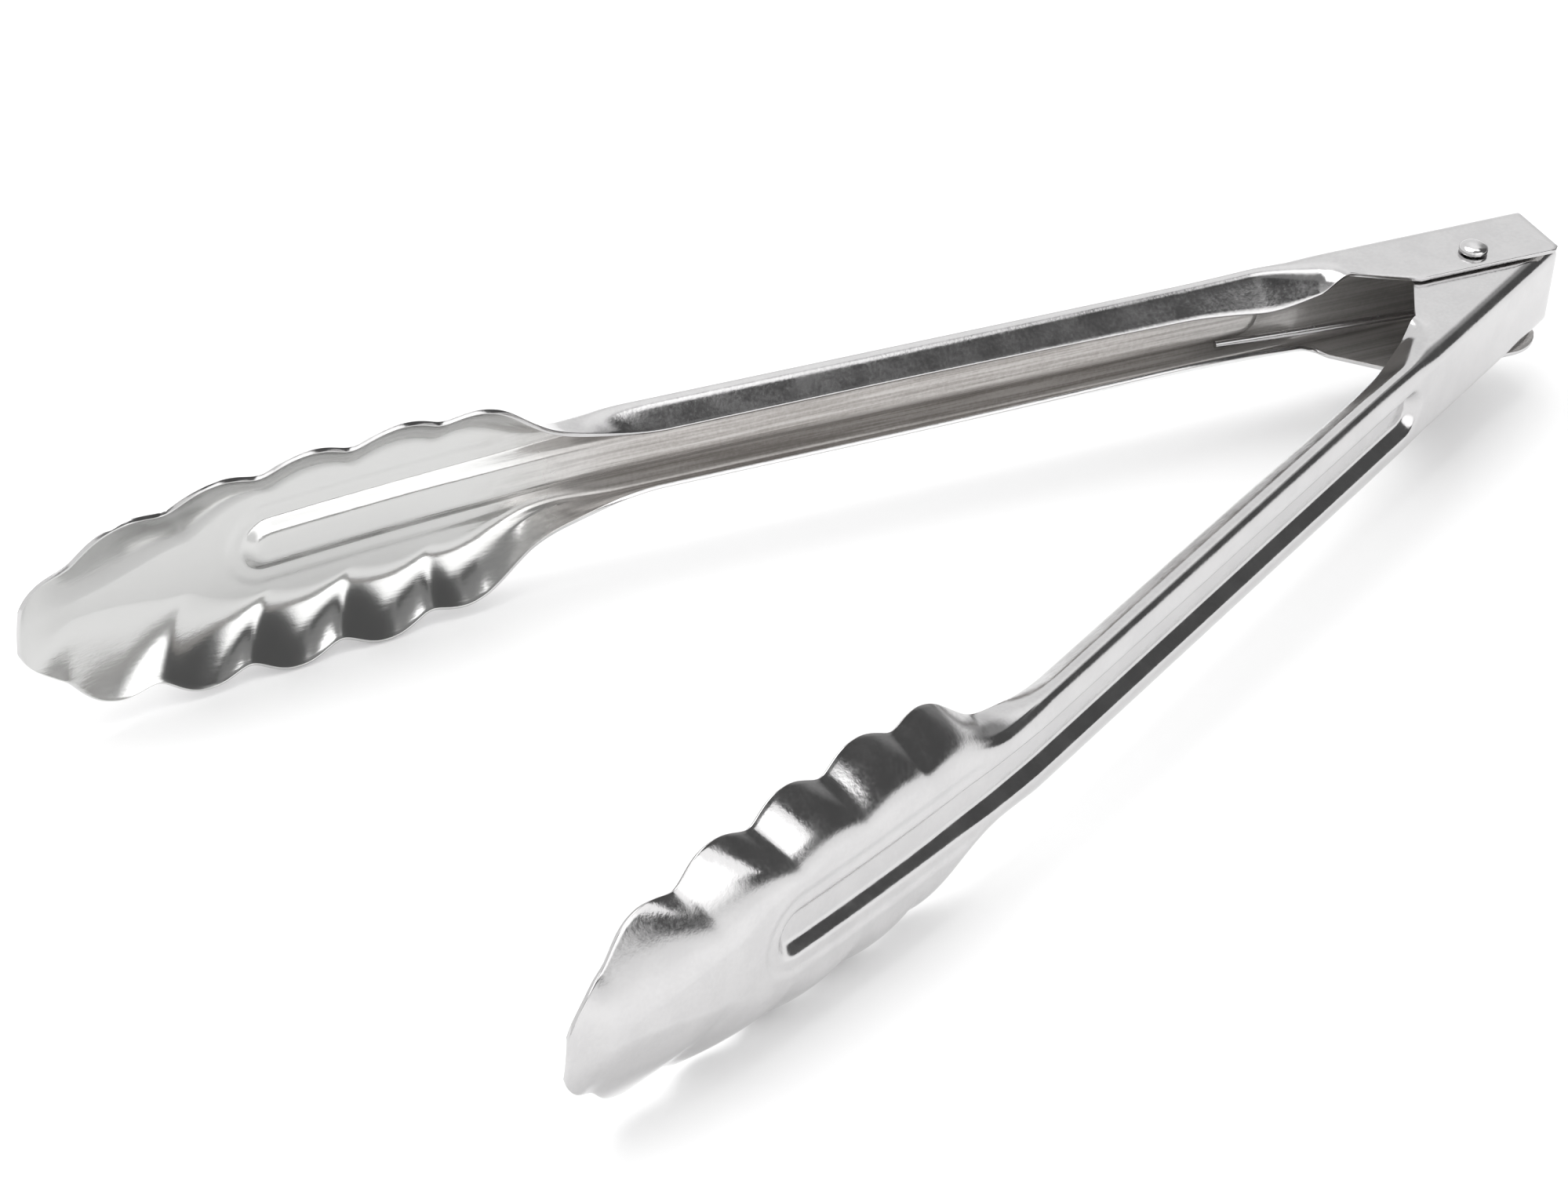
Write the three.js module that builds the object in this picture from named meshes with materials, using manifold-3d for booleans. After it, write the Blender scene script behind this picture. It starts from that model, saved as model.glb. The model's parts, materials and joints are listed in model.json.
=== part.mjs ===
// Spring loaded kitchen tongs. Two arms pressed from stainless sheet turn on one rivet,
// and a coiled wire spring round the rivet pushes them apart.
// Millimetres. The tongs lie on their side, open: +Z is up along the rivet,
// +X runs from the hinge to the tips, halfway between the arms.
//
// Each arm is drawn in its own frame: s runs along the arm from the rivet to the tip,
// w runs across it, and h is the height above the flat back, towards the other arm.
import * as THREE from "three";
import { mergeVertices } from "three/addons/utils/BufferGeometryUtils.js";
import Module from "manifold-3d";

const { clamp, degToRad, lerp, smoothstep } = THREE.MathUtils;

// ---------------------------------------------------------------- driving dimensions
const SHEET = 0.8; // sheet thickness of both arms
const RUN_GAP = 0.3; // clearance between pieces that turn or rest on each other
const OPEN_ANGLE = 29.5; // degrees between the backs of the arms, sprung open

// channel handle
const PIVOT_HEIGHT = 10.8; // rivet axis above the back of either arm
const TAIL_LENGTH = 16.5; // outer arm behind the rivet
const INNER_TAIL_LENGTH = 14.5; // inner arm behind the rivet
const TIP_LENGTH = 288; // rivet to tip
const OUTER_HALF_WIDTH = 9.9; // outer arm at the hinge
const NECK_HALF_WIDTH = 9.3; // both arms along the handle
const BACK_BEND = 4; // the bend's run along the back, before it stands as the flange
const HINGE_BACK_BEND = 2.5; // the same round the rivet, where the sides stand higher
const FLANGE_HEIGHT = 2.8; // flange up to the crisp fold of the lip
const EDGE_HEIGHT = 7.1; // free edge of the lip above the back
const LIP_LEAN = 0.75; // how far the lip leans in, as a share of its height over the fold

// the lip and flange near the hinge
const LIP_START = 26; // lip begins, measured from the rivet
const LIP_ROUND = 6; // length of the lip's rounded start
const LIP_RUN_OUT = 24; // length over which the lip runs out into the head
const HINGE_FOLD_HEIGHT = 6.6; // fold height where the lip begins
const FOLD_BLEND = 44; // the fold is down at its normal height here
const HINGE_EDGE_HEIGHT = 9.4; // free edge height where the lip begins
const HINGE_LIP_LEAN = 1; // the lip leans in more where it begins
const LEAN_BLEND = 125; // the lip leans as usual from here on
const HINGE_BLEND = 60; // the sides and the free edge are back at their normal places here
const EAR_HEIGHT = 15.6; // free edge of the ears round the rivet
const DEEP_EAR_HEIGHT = 18.4; // the outer arm's lower ear is deeper
const EAR_FRONT = 14.5; // front corner of the ears
const DEEP_EAR_START = 28; // its edge starts to rise here
const DEEP_EAR_FOLD_HEIGHT = 3.2; // the lip is low where it meets the deeper ear
const DEEP_EAR_EDGE_HEIGHT = 5.2;
const EAR_CORNER = 9; // rounded tail corner of the deeper ear
const STOP_ROOM_SHARE = 0.45; // the inner ears end this share of the hinge bend clear of the outer back

// stiffening rib pressed into the back
const RIB_START = 39;
const RIB_END = 244.5;
const RIB_DEPTH = 2.1; // along the handle
const HEAD_RIB_DEPTH = 1.1; // the rib is shallower in the head
const RIB_FLOOR_HALF = 2.9;
const RIB_WALL = 2.3; // run of each sloping wall
const RIB_ROUND = 6; // rounded rib ends

// scalloped head
const NECK_START = 173; // handle begins to flare
const NECK_END = 213; // flare reaches the full head width
const LIP_END = 188; // lip has run out to the free edge
const HEAD_HALF_WIDTH = 19.6; // notches at the widest part of the head
const NOSE_START = 226; // head begins to narrow towards the tip
const NOSE_POWER = 2.5; // fullness of the rounded nose
const NOTCH_PITCH = 17.5;
const NOTCH_COUNT = 5;
const TIP_LOBE_LENGTH = 7; // nose beyond the last notch, up to its own bulge
const LOBE_BULGE = 2.3; // lobe beyond the line of the notches
const LOBE_RISE = 0.8; // lobe edge above the notch edge
const TIP_BULGE = 1.5;
const BASE_SHARE = 0.63; // foot of the side wall, as a share of the notch half width
const BASE_BULGE = 1.6; // foot of the side wall swells between the creases
const NOSE_BASE_SHARE = 0.34; // the same at the nose, which is a shallow spoon
const NOSE_BASE_START = 242; // from here on the foot draws in towards the nose
const BASE_TURN = 0.3; // the wall turns up over this share of its width, either side of the foot
const CREASE_ROUND = 1.6; // rounding of a crease where two lobes meet
const CREASE_SLANT = 4.5; // creases lean: foot nearer the hinge than the notch
const NOSE_CREASE_SLANT = 8; // they lean more towards the nose
const FLOOR_RISE = 11; // head floor climbs towards the other arm
const TIP_CURL = 5.4; // extra climb at the tip
const EDGE_RISE = 9.6; // climb of the scalloped edge
const EDGE_RISE_START = 190;

// rivet
const SHANK_RADIUS = 1.6;
const RIVET_HEAD_RADIUS = 2.7;
const RIVET_RIM = 0.5; // straight rim under the dome
const RIVET_DOME = 1.1;

// spring
const WIRE_RADIUS = 0.7;
const COIL_RADIUS = 3; // centre of the wire to the rivet axis
const COIL_TURNS = 5; // full turns, before the legs
const COIL_PITCH_GAP = 0.08; // daylight between turns
const LEG_LENGTH = 50;
const LEG_REST_HEIGHT = 3.3; // wire centre above the back at the end of a leg

// ---------------------------------------------------------------- worked-out sizes
const HALF_OPEN = degToRad(OPEN_ANGLE / 2);
const INNER_HALF_WIDTH = OUTER_HALF_WIDTH - SHEET - RUN_GAP;
const NOSE_END = TIP_LENGTH - TIP_BULGE;
const LAST_NOTCH = NOSE_END - TIP_LOBE_LENGTH;
const FIRST_NOTCH = LAST_NOTCH - NOTCH_PITCH * (NOTCH_COUNT - 1);
const LIP_FADE = LIP_END - LIP_RUN_OUT;
const FIRST_LOBE_START = FIRST_NOTCH - NOTCH_PITCH;

/** 0 at x = 0, rising along a quarter circle to 1 at x = 1. */
function quarterRound(x) {
  const t = 1 - clamp(x, 0, 1);
  return Math.sqrt(1 - t * t);
}

/** Height of the back, or of the head's floor, at distance s. */
function floorHeight(s) {
  const t = clamp((s - NECK_START) / (TIP_LENGTH - NECK_START), 0, 1);
  return FLOOR_RISE * t ** 1.35 + TIP_CURL * t ** 6;
}

/** How far the rib has risen from its rounded ends at distance s: 0 outside it, 1 along it. */
function ribGrowth(s) {
  const inside = Math.min(s - RIB_START, RIB_END - s);
  return quarterRound(inside / RIB_ROUND);
}

/** Rise of the rib above the back at distance s. */
function ribRise(s) {
  return ribGrowth(s) * lerp(RIB_DEPTH, HEAD_RIB_DEPTH, smoothstep(s, NECK_START, NECK_END));
}

/** Half width over the notches of the head. */
function notchHalfWidth(p) {
  const flare = smoothstep(p, NECK_START, NECK_END);
  const nose = clamp((p - NOSE_START) / (NOSE_END - NOSE_START), 0, 1);
  const full = HEAD_HALF_WIDTH * (1 - nose ** NOSE_POWER) ** (1 / NOSE_POWER);
  return lerp(NECK_HALF_WIDTH, full, flare);
}

/** Height of the notches' edge of the head. */
function notchEdgeHeight(p) {
  const t = clamp((p - EDGE_RISE_START) / (TIP_LENGTH - EDGE_RISE_START), 0, 1);
  return EDGE_HEIGHT + EDGE_RISE * (1 - (1 - t) ** 1.35);
}

/** 0 in a notch or crease, 1 in the middle of a lobe. The first lobe grows out of the neck. */
function lobeSwell(p) {
  const firstLobeMiddle = FIRST_NOTCH - NOTCH_PITCH / 2;
  if (p < firstLobeMiddle) return smoothstep(p, FIRST_LOBE_START - NOTCH_PITCH / 2, firstLobeMiddle);
  const last = p >= LAST_NOTCH;
  const length = last ? 2 * (NOSE_END - LAST_NOTCH) : NOTCH_PITCH;
  const x = last
    ? 0.5 * (1 - Math.sqrt(1 - Math.min(1, (p - LAST_NOTCH) / (NOSE_END - LAST_NOTCH))))
    : ((p - FIRST_LOBE_START) / NOTCH_PITCH) % 1;
  const fromCrease = Math.hypot(Math.min(x, 1 - x) * length, CREASE_ROUND) - CREASE_ROUND;
  const share = Math.min(fromCrease / (length - 2 * CREASE_ROUND), 0.5);
  return 4 * share * (1 - share);
}

/** Half width of a handle at the outside of its flanges. */
function handleHalfWidth(s, hingeHalfWidth) {
  return lerp(hingeHalfWidth, NECK_HALF_WIDTH, smoothstep(s, LIP_START, HINGE_BLEND));
}

/** Share of the lip that is folded: 0 at its rounded ends and outside them, 1 along it. */
function lipGrowth(s) {
  return quarterRound((s - LIP_START) / LIP_ROUND) * smoothstep(LIP_END - s, 0, LIP_RUN_OUT);
}

/** Free edge height of the handle, with the ears round the rivet. */
function handleEdgeHeight(s, ear, tailLength) {
  const plain = lerp(ear.lipEdge, EDGE_HEIGHT, smoothstep(s, LIP_START, HINGE_BLEND));
  const top = lerp(plain, ear.height, clamp((ear.start - s) / (ear.start - EAR_FRONT), 0, 1));
  const corner = ear.corner * (1 - quarterRound((s + tailLength) / ear.corner));
  return Math.min(top - corner, ear.stopHeight(s));
}

// ---------------------------------------------------------------- sections of an arm
/** Handle half section from the centre line to the free edge, as [w, h] pairs. */
function handleHalfSection(s, arm, ear) {
  const half = handleHalfWidth(s, arm.hingeHalfWidth);
  const rib = ribGrowth(s);
  const ribFloor = RIB_FLOOR_HALF * lerp(0.25, 1, rib);
  const ribFoot = ribFloor + RIB_WALL;
  const edge = handleEdgeHeight(s, ear, arm.tailLength);
  const nearHinge = 1 - smoothstep(s, LIP_START, HINGE_BLEND);
  const fold = lerp(ear.lipFold, FLANGE_HEIGHT, smoothstep(s, LIP_START, FOLD_BLEND));
  const lean = lerp(HINGE_LIP_LEAN, LIP_LEAN, smoothstep(s, LIP_START, LEAN_BLEND));
  const inset = lean * (edge - fold) * lipGrowth(s);
  const run = lerp(BACK_BEND, HINGE_BACK_BEND, nearHinge);
  const rise = Math.min(run, 0.6 * fold);
  const midBend = 1 - Math.SQRT1_2;
  return [
    [0, ribRise(s)],
    [ribFloor, ribRise(s)],
    [ribFoot, 0],
    [half - run, 0],
    [half - run * midBend, rise * midBend],
    [half, rise],
    [half, fold],
    [half - inset / 2, (fold + edge) / 2],
    [half - inset, edge],
  ];
}

/** Head half section at station p, as [w, h] pairs above the floor's start. */
function headHalfSection(s, p) {
  const notch = notchHalfWidth(p);
  const swell = lobeSwell(p);
  const atTip = smoothstep(p, LAST_NOTCH - NOTCH_PITCH / 2, NOSE_END);
  const normal = edgeNormal(p);
  const bulge = p < LAST_NOTCH ? LOBE_BULGE : TIP_BULGE;
  const edgeW = notch + bulge * swell * normal.w;
  const baseShare = lerp(BASE_SHARE, NOSE_BASE_SHARE, smoothstep(p, NOSE_BASE_START, LAST_NOTCH));
  const baseW = baseShare * notch + BASE_BULGE * swell * (notch / HEAD_HALF_WIDTH) * (1 - atTip);
  const floor = floorHeight(s);
  const edgeH = Math.max(notchEdgeHeight(p) + LOBE_RISE * swell * (1 - atTip), floor + 0.01);
  const turn = BASE_TURN * (edgeW - baseW);
  const foot = baseW - turn;
  const ribFloor = Math.min(RIB_FLOOR_HALF * lerp(0.25, 1, ribGrowth(s)), 0.4 * foot);
  const ribFoot = Math.min(ribFloor + RIB_WALL, 0.8 * foot);
  const wall = (t) => [
    lerp(lerp(foot, baseW + turn, t), lerp(baseW + turn, edgeW, t), t),
    lerp(floor, edgeH, t * t),
  ];
  return [
    [0, floor + ribRise(s)],
    [ribFloor, floor + ribRise(s)],
    [ribFoot, floor],
    wall(0),
    wall(0.2),
    wall(0.4),
    wall(0.6),
    wall(0.8),
    wall(1),
  ];
}

/** Outward normal of the notches' outline at station p. */
function edgeNormal(p) {
  const step = 0.05;
  const slope = (notchHalfWidth(Math.min(p + step, NOSE_END)) - notchHalfWidth(p - step)) / (2 * step);
  const length = Math.hypot(1, slope);
  return { s: -slope / length, w: 1 / length };
}

/** One half of the skin at station p: points [s, w, h] from the centre line outwards. */
function halfSkin(p, arm, ear) {
  const headShare = smoothstep(p, NECK_START - 2, FIRST_LOBE_START + 8);
  const towardsNose = clamp((p - NOSE_START) / (LAST_NOTCH - NOTCH_PITCH - NOSE_START), 0, 1);
  const lean = lerp(CREASE_SLANT, NOSE_CREASE_SLANT, towardsNose)
    * smoothstep(p, FIRST_LOBE_START, NOSE_START)
    * (1 - smoothstep(p, LAST_NOTCH - NOTCH_PITCH / 2, NOSE_END - 2));
  const toTip = smoothstep(p, LAST_NOTCH, NOSE_END - 1);
  const bulge = p < LAST_NOTCH ? LOBE_BULGE : TIP_BULGE;
  const push = bulge * lobeSwell(p) * edgeNormal(p).s;
  const lastNode = 8;
  const points = [];
  for (let j = 0; j <= lastNode; j += 1) {
    const outward = Math.max(0, (j - 4) / (lastNode - 4));
    const s = p - lean * (1 - outward) + push * lerp(outward, 1, toTip);
    const handle = handleHalfSection(s, arm, ear)[j];
    if (headShare === 0) {
      points.push([s, handle[0], handle[1]]);
      continue;
    }
    const head = headHalfSection(s, p)[j];
    const lift = floorHeight(s);
    points.push([s, lerp(handle[0], head[0], headShare), lerp(handle[1] + lift, head[1], headShare)]);
  }
  return points;
}

/** Distances along the arm at which its section is drawn. */
function stationList(tailLength) {
  const stations = [];
  const span = (from, to, count) => {
    for (let k = 0; k < count; k += 1) stations.push(lerp(from, to, k / count));
  };
  span(-tailLength, -tailLength + EAR_CORNER, 4);
  span(-tailLength + EAR_CORNER, EAR_FRONT, 4);
  span(EAR_FRONT, LIP_START, 2);
  span(LIP_START, LIP_START + LIP_ROUND, 4);
  span(LIP_START + LIP_ROUND, RIB_START, 2);
  span(RIB_START, RIB_START + RIB_ROUND, 4);
  span(RIB_START + RIB_ROUND, HINGE_BLEND, 3);
  span(HINGE_BLEND, LIP_FADE, 7);
  span(LIP_FADE, LIP_END, 8);
  span(LIP_END, FIRST_LOBE_START, 2);
  span(FIRST_LOBE_START, LAST_NOTCH, NOTCH_COUNT * 6);
  const tipSteps = 7;
  for (let k = 0; k < tipSteps; k += 1) {
    const left = 1 - k / tipSteps;
    stations.push(NOSE_END - (NOSE_END - LAST_NOTCH) * left * left);
  }
  stations.push(NOSE_END - 0.01);
  return stations;
}

/** Direction through the middle one of three points; scale makes up for the bend at it. */
function midDirection(before, point, after) {
  const arriving = point.clone().sub(before);
  const leaving = after.clone().sub(point);
  if (arriving.lengthSq() === 0) arriving.copy(leaving);
  if (leaving.lengthSq() === 0) leaving.copy(arriving);
  const along = arriving.normalize().add(leaving.normalize()).normalize();
  return { along, scale: 1 / Math.max(0.8, along.dot(leaving)) };
}

/**
 * The skin set in by one sheet thickness, towards the inside of the channel. At the tip,
 * where the skin draws together to a point, it is set in straight up.
 */
function insideSkin(skins, stations) {
  const at = (list, k) => list[clamp(k, 0, list.length - 1)];
  const up = new THREE.Vector3(0, 0, SHEET);
  return skins.map((skin, i) => {
    const atTip = smoothstep(stations[i], LAST_NOTCH - NOTCH_PITCH / 2, LAST_NOTCH);
    return skin.map((point, k) => {
      const across = midDirection(at(skin, k - 1), point, at(skin, k + 1));
      const lengthwise = midDirection(at(skins, i - 1)[k], point, at(skins, i + 1)[k]);
      const normal = lengthwise.along.clone().cross(across.along).normalize();
      return normal.multiplyScalar(SHEET * across.scale).lerp(up, atTip).add(point);
    });
  });
}

/** Closed sheet body of an arm, with s along X, h along Y above the rivet axis, w along Z. */
function armSheet(arm) {
  const stations = stationList(arm.tailLength);
  const skins = stations.map((p) => {
    const point = ([s, w, h]) => new THREE.Vector3(s, w, h);
    const lower = halfSkin(p, arm, arm.lowerEar).map(([s, w, h]) => point([s, -w, h]));
    const upper = halfSkin(p, arm, arm.upperEar).map(point);
    return [...lower.reverse(), ...upper.slice(1)];
  });
  const innerSkins = insideSkin(skins, stations);
  const across = skins[0].length;
  const positions = [];
  const place = (point) => positions.push(point.x, (point.z - PIVOT_HEIGHT) * arm.side, point.y);
  skins.forEach((skin, i) => {
    skin.forEach(place);
    innerSkins[i].forEach(place);
  });
  const index = [];
  const outside = (i, k) => i * 2 * across + k;
  const inside = (i, k) => (i * 2 + 1) * across + k;
  const quad = (a, b, c, d) => {
    if (arm.side > 0) index.push(a, b, c, a, c, d);
    else index.push(a, c, b, a, d, c);
  };
  const lastRow = skins.length - 1;
  for (let i = 0; i < lastRow; i += 1) {
    for (let k = 0; k < across - 1; k += 1) {
      quad(outside(i, k), outside(i + 1, k), outside(i + 1, k + 1), outside(i, k + 1));
      quad(inside(i, k), inside(i, k + 1), inside(i + 1, k + 1), inside(i + 1, k));
    }
    quad(outside(i, 0), inside(i, 0), inside(i + 1, 0), outside(i + 1, 0));
    const last = across - 1;
    quad(outside(i, last), outside(i + 1, last), inside(i + 1, last), inside(i, last));
  }
  for (let k = 0; k < across - 1; k += 1) {
    quad(outside(0, k), outside(0, k + 1), inside(0, k + 1), inside(0, k));
    quad(outside(lastRow, k), inside(lastRow, k), inside(lastRow, k + 1), outside(lastRow, k + 1));
  }
  const geometry = new THREE.BufferGeometry();
  geometry.setAttribute("position", new THREE.Float32BufferAttribute(positions, 3));
  geometry.setIndex(index);
  return geometry;
}

// ---------------------------------------------------------------- cutting
const wasm = await Module();
wasm.setup();

function toManifold(geometry) {
  const plain = geometry.clone();
  plain.deleteAttribute("normal");
  plain.deleteAttribute("uv");
  const merged = mergeVertices(plain, 1e-4);
  return new wasm.Manifold(new wasm.Mesh({
    numProp: 3,
    vertProperties: merged.attributes.position.array,
    triVerts: new Uint32Array(merged.index.array),
  }));
}

function toGeometry(manifold) {
  const mesh = manifold.getMesh();
  const geometry = new THREE.BufferGeometry();
  geometry.setAttribute("position", new THREE.Float32BufferAttribute(mesh.vertProperties, 3));
  geometry.setIndex([...mesh.triVerts]);
  geometry.computeVertexNormals();
  return geometry;
}

/** An arm with the rivet holes drilled through both ears. */
function armGeometry(arm) {
  const drill = new THREE.CylinderGeometry(
    SHANK_RADIUS + RUN_GAP, SHANK_RADIUS + RUN_GAP, 4 * OUTER_HALF_WIDTH, 24,
  );
  drill.rotateX(Math.PI / 2);
  return toGeometry(toManifold(armSheet(arm)).subtract(toManifold(drill)));
}

// ---------------------------------------------------------------- pieces
const noStop = () => Infinity;

/** The inner arm's ears end just short of the outer arm's back: this stops the opening. */
function innerStopHeight(s) {
  const open = 2 * HALF_OPEN;
  const reach = PIVOT_HEIGHT - SHEET - RUN_GAP - STOP_ROOM_SHARE * HINGE_BACK_BEND;
  return PIVOT_HEIGHT + (reach + Math.sin(open) * s) / Math.cos(open);
}

const plainEar = {
  start: LIP_START,
  height: EAR_HEIGHT,
  corner: 1,
  lipFold: HINGE_FOLD_HEIGHT,
  lipEdge: HINGE_EDGE_HEIGHT,
  stopHeight: noStop,
};

const deepEar = {
  start: DEEP_EAR_START,
  height: DEEP_EAR_HEIGHT,
  corner: EAR_CORNER,
  lipFold: DEEP_EAR_FOLD_HEIGHT,
  lipEdge: DEEP_EAR_EDGE_HEIGHT,
  stopHeight: noStop,
};

const stoppedEar = { ...plainEar, stopHeight: innerStopHeight };

const outerArmShape = {
  side: 1,
  hingeHalfWidth: OUTER_HALF_WIDTH,
  tailLength: TAIL_LENGTH,
  upperEar: plainEar,
  lowerEar: deepEar,
};

const innerArmShape = {
  side: -1,
  hingeHalfWidth: INNER_HALF_WIDTH,
  tailLength: INNER_TAIL_LENGTH,
  upperEar: stoppedEar,
  lowerEar: stoppedEar,
};

/** Rivet with a domed head on both ends, turned about Z. */
function rivetGeometry() {
  const seat = OUTER_HALF_WIDTH + RUN_GAP;
  const half = [];
  half.push(new THREE.Vector2(SHANK_RADIUS, seat));
  half.push(new THREE.Vector2(RIVET_HEAD_RADIUS, seat));
  const steps = 5;
  for (let k = 0; k < steps; k += 1) {
    const turn = (k / steps) * (Math.PI / 2);
    const height = seat + RIVET_RIM + RIVET_DOME * Math.sin(turn);
    half.push(new THREE.Vector2(RIVET_HEAD_RADIUS * Math.cos(turn), height));
  }
  half.push(new THREE.Vector2(0, seat + RIVET_RIM + RIVET_DOME));
  const lower = half.map((point) => new THREE.Vector2(point.x, -point.y)).reverse();
  const geometry = new THREE.LatheGeometry([...lower, ...half], 24);
  geometry.rotateX(Math.PI / 2);
  return geometry;
}

/** Torsion spring centre line: a leg along each arm's back and the coil round the rivet. */
class SpringCurve extends THREE.Curve {
  constructor() {
    super();
    const rest = PIVOT_HEIGHT - LEG_REST_HEIGHT;
    this.legTilt = HALF_OPEN + Math.asin((rest - COIL_RADIUS) / LEG_LENGTH);
    this.wrap = Math.PI - 2 * this.legTilt + 2 * Math.PI * COIL_TURNS;
    this.coilHeight = (this.wrap / (2 * Math.PI)) * (2 * WIRE_RADIUS + COIL_PITCH_GAP);
    this.coilLength = this.wrap * COIL_RADIUS;
    this.total = this.coilLength + 2 * LEG_LENGTH;
  }

  getPoint(t, target = new THREE.Vector3()) {
    const along = t * this.total;
    if (along < LEG_LENGTH) return this.legPoint(LEG_LENGTH - along, -1, target);
    const afterCoil = along - LEG_LENGTH - this.coilLength;
    if (afterCoil > 0) return this.legPoint(afterCoil, 1, target);
    const share = (along - LEG_LENGTH) / this.coilLength;
    const angle = -Math.PI / 2 - this.legTilt - share * this.wrap;
    const z = lerp(-0.5, 0.5, share) * this.coilHeight;
    return target.set(COIL_RADIUS * Math.cos(angle), COIL_RADIUS * Math.sin(angle), z);
  }

  /** Point on a leg at a distance from the coil; side -1 lies along the outer arm. */
  legPoint(distance, side, target) {
    const x = distance * Math.cos(this.legTilt) - COIL_RADIUS * Math.sin(this.legTilt);
    const y = distance * Math.sin(this.legTilt) + COIL_RADIUS * Math.cos(this.legTilt);
    return target.set(x, side * y, side * 0.5 * this.coilHeight);
  }
}

function springGeometry() {
  const section = new THREE.Shape();
  section.absarc(0, 0, WIRE_RADIUS, 0, 2 * Math.PI);
  return new THREE.ExtrudeGeometry(section, {
    extrudePath: new SpringCurve(),
    steps: 120,
    curveSegments: 4,
  });
}

// ---------------------------------------------------------------- assembly
function metal(color, roughness) {
  return new THREE.MeshStandardMaterial({ color, roughness, metalness: 1 });
}

function addPiece(group, name, geometry, material, turn = 0) {
  const mesh = new THREE.Mesh(geometry, material);
  mesh.name = name;
  mesh.rotation.z = turn;
  group.add(mesh);
}

const tongs = new THREE.Group();
addPiece(tongs, "outer_arm", armGeometry(outerArmShape), metal(0xd2d2d0, 0.22), -HALF_OPEN);
addPiece(tongs, "inner_arm", armGeometry(innerArmShape), metal(0xd2d2d0, 0.22), HALF_OPEN);
addPiece(tongs, "hinge_rivet", rivetGeometry(), metal(0xc8c8c6, 0.25));
addPiece(tongs, "torsion_spring", springGeometry(), metal(0xb8b8b6, 0.3));

// The origin is the middle of the underside of the box round the open tongs.
const box = new THREE.Box3().setFromObject(tongs, true);
const middle = box.getCenter(new THREE.Vector3());
tongs.position.set(-middle.x, -middle.y, -box.min.z);

export default tongs;
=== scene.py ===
"""Looks of the spring loaded kitchen tongs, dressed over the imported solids.

Sizes are in millimetres and become metres where vertices are placed. Each arm is drawn in
its own directions: s along the arm from the rivet to the tip, w across it along the rivet,
and h above its flat back, towards the other arm.
"""
import json
import math

import bmesh
import bpy
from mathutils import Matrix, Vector


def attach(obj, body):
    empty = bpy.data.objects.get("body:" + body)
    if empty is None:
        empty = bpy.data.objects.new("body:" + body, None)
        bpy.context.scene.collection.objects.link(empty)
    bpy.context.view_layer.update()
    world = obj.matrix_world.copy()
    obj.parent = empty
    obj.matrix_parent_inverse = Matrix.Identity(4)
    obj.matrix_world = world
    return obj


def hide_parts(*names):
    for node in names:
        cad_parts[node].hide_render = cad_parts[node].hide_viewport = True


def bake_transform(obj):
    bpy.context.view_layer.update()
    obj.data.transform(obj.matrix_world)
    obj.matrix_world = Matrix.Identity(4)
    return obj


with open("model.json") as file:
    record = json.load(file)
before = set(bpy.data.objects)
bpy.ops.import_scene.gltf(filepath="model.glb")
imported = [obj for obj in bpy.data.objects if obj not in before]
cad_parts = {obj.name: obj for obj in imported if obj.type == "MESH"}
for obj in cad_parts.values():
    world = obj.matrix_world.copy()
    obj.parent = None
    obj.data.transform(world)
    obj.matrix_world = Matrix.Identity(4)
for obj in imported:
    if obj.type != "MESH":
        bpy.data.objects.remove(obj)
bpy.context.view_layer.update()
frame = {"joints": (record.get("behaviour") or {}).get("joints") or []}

# ------------------------------------------------------------------ sizes
MM = 0.001
PIVOT = Vector(frame["joints"][0]["pos_m"])
HALF_OPEN = math.radians(29.5 / 2)  # from the mid line to the back of either arm

SHEET = 0.8
EDGE_ROUND = 0.15  # easing of the cut edges
RUN_GAP = 0.3  # clearance between pieces that turn or rest on each other
PIVOT_HEIGHT = 10.8  # rivet axis above the back of either arm
TAIL_LENGTH = 16.5
INNER_TAIL_LENGTH = 14.5
TIP_LENGTH = 288.0
OUTER_HALF_WIDTH = 9.9
INNER_HALF_WIDTH = OUTER_HALF_WIDTH - SHEET - RUN_GAP
NECK_HALF_WIDTH = 9.3
BACK_BEND = 4.0  # the bend's run along the back, before it stands as the flange
BEND_RISE_SHARE = 0.58  # the most of the flange's height that the bend may take
BEND_REACH = 0.96  # no bend takes more of a side than this share
HINGE_BACK_BEND = 2.5  # the same round the rivet, where the sides stand higher
FLANGE_HEIGHT = 2.8
EDGE_HEIGHT = 7.1
FOLD_REACH = 0.38  # the fold's reach down the flange, as a share of the flange's height
LIP_REACH = 0.45  # its reach along the lip, as a share of the same
LIP_LEAN = 0.75  # how far the lip leans in, as a share of its height over the fold
LIP_START = 26.0
LIP_END = 188.0
LIP_ROUND = 6.0
LIP_RUN_OUT = 24.0
LIP_FADE = LIP_END - LIP_RUN_OUT
HINGE_FOLD_HEIGHT = 6.6
FOLD_BLEND = 44  # the fold is down at its normal height here
HINGE_EDGE_HEIGHT = 9.4
HINGE_LIP_LEAN = 1.0  # the lip leans in more where it begins
LEAN_BLEND = 125
HINGE_BLEND = 60.0
EAR_HEIGHT = 15.6
DEEP_EAR_HEIGHT = 18.4
EAR_FRONT = 14.5
DEEP_EAR_START = 28
DEEP_EAR_FOLD_HEIGHT = 3.2  # the lip is low where it meets the deeper ear
DEEP_EAR_EDGE_HEIGHT = 5.2
EAR_CORNER = 9.0
STOP_ROOM_SHARE = 0.45  # the inner ears end this share of the hinge bend clear of the outer back

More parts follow.
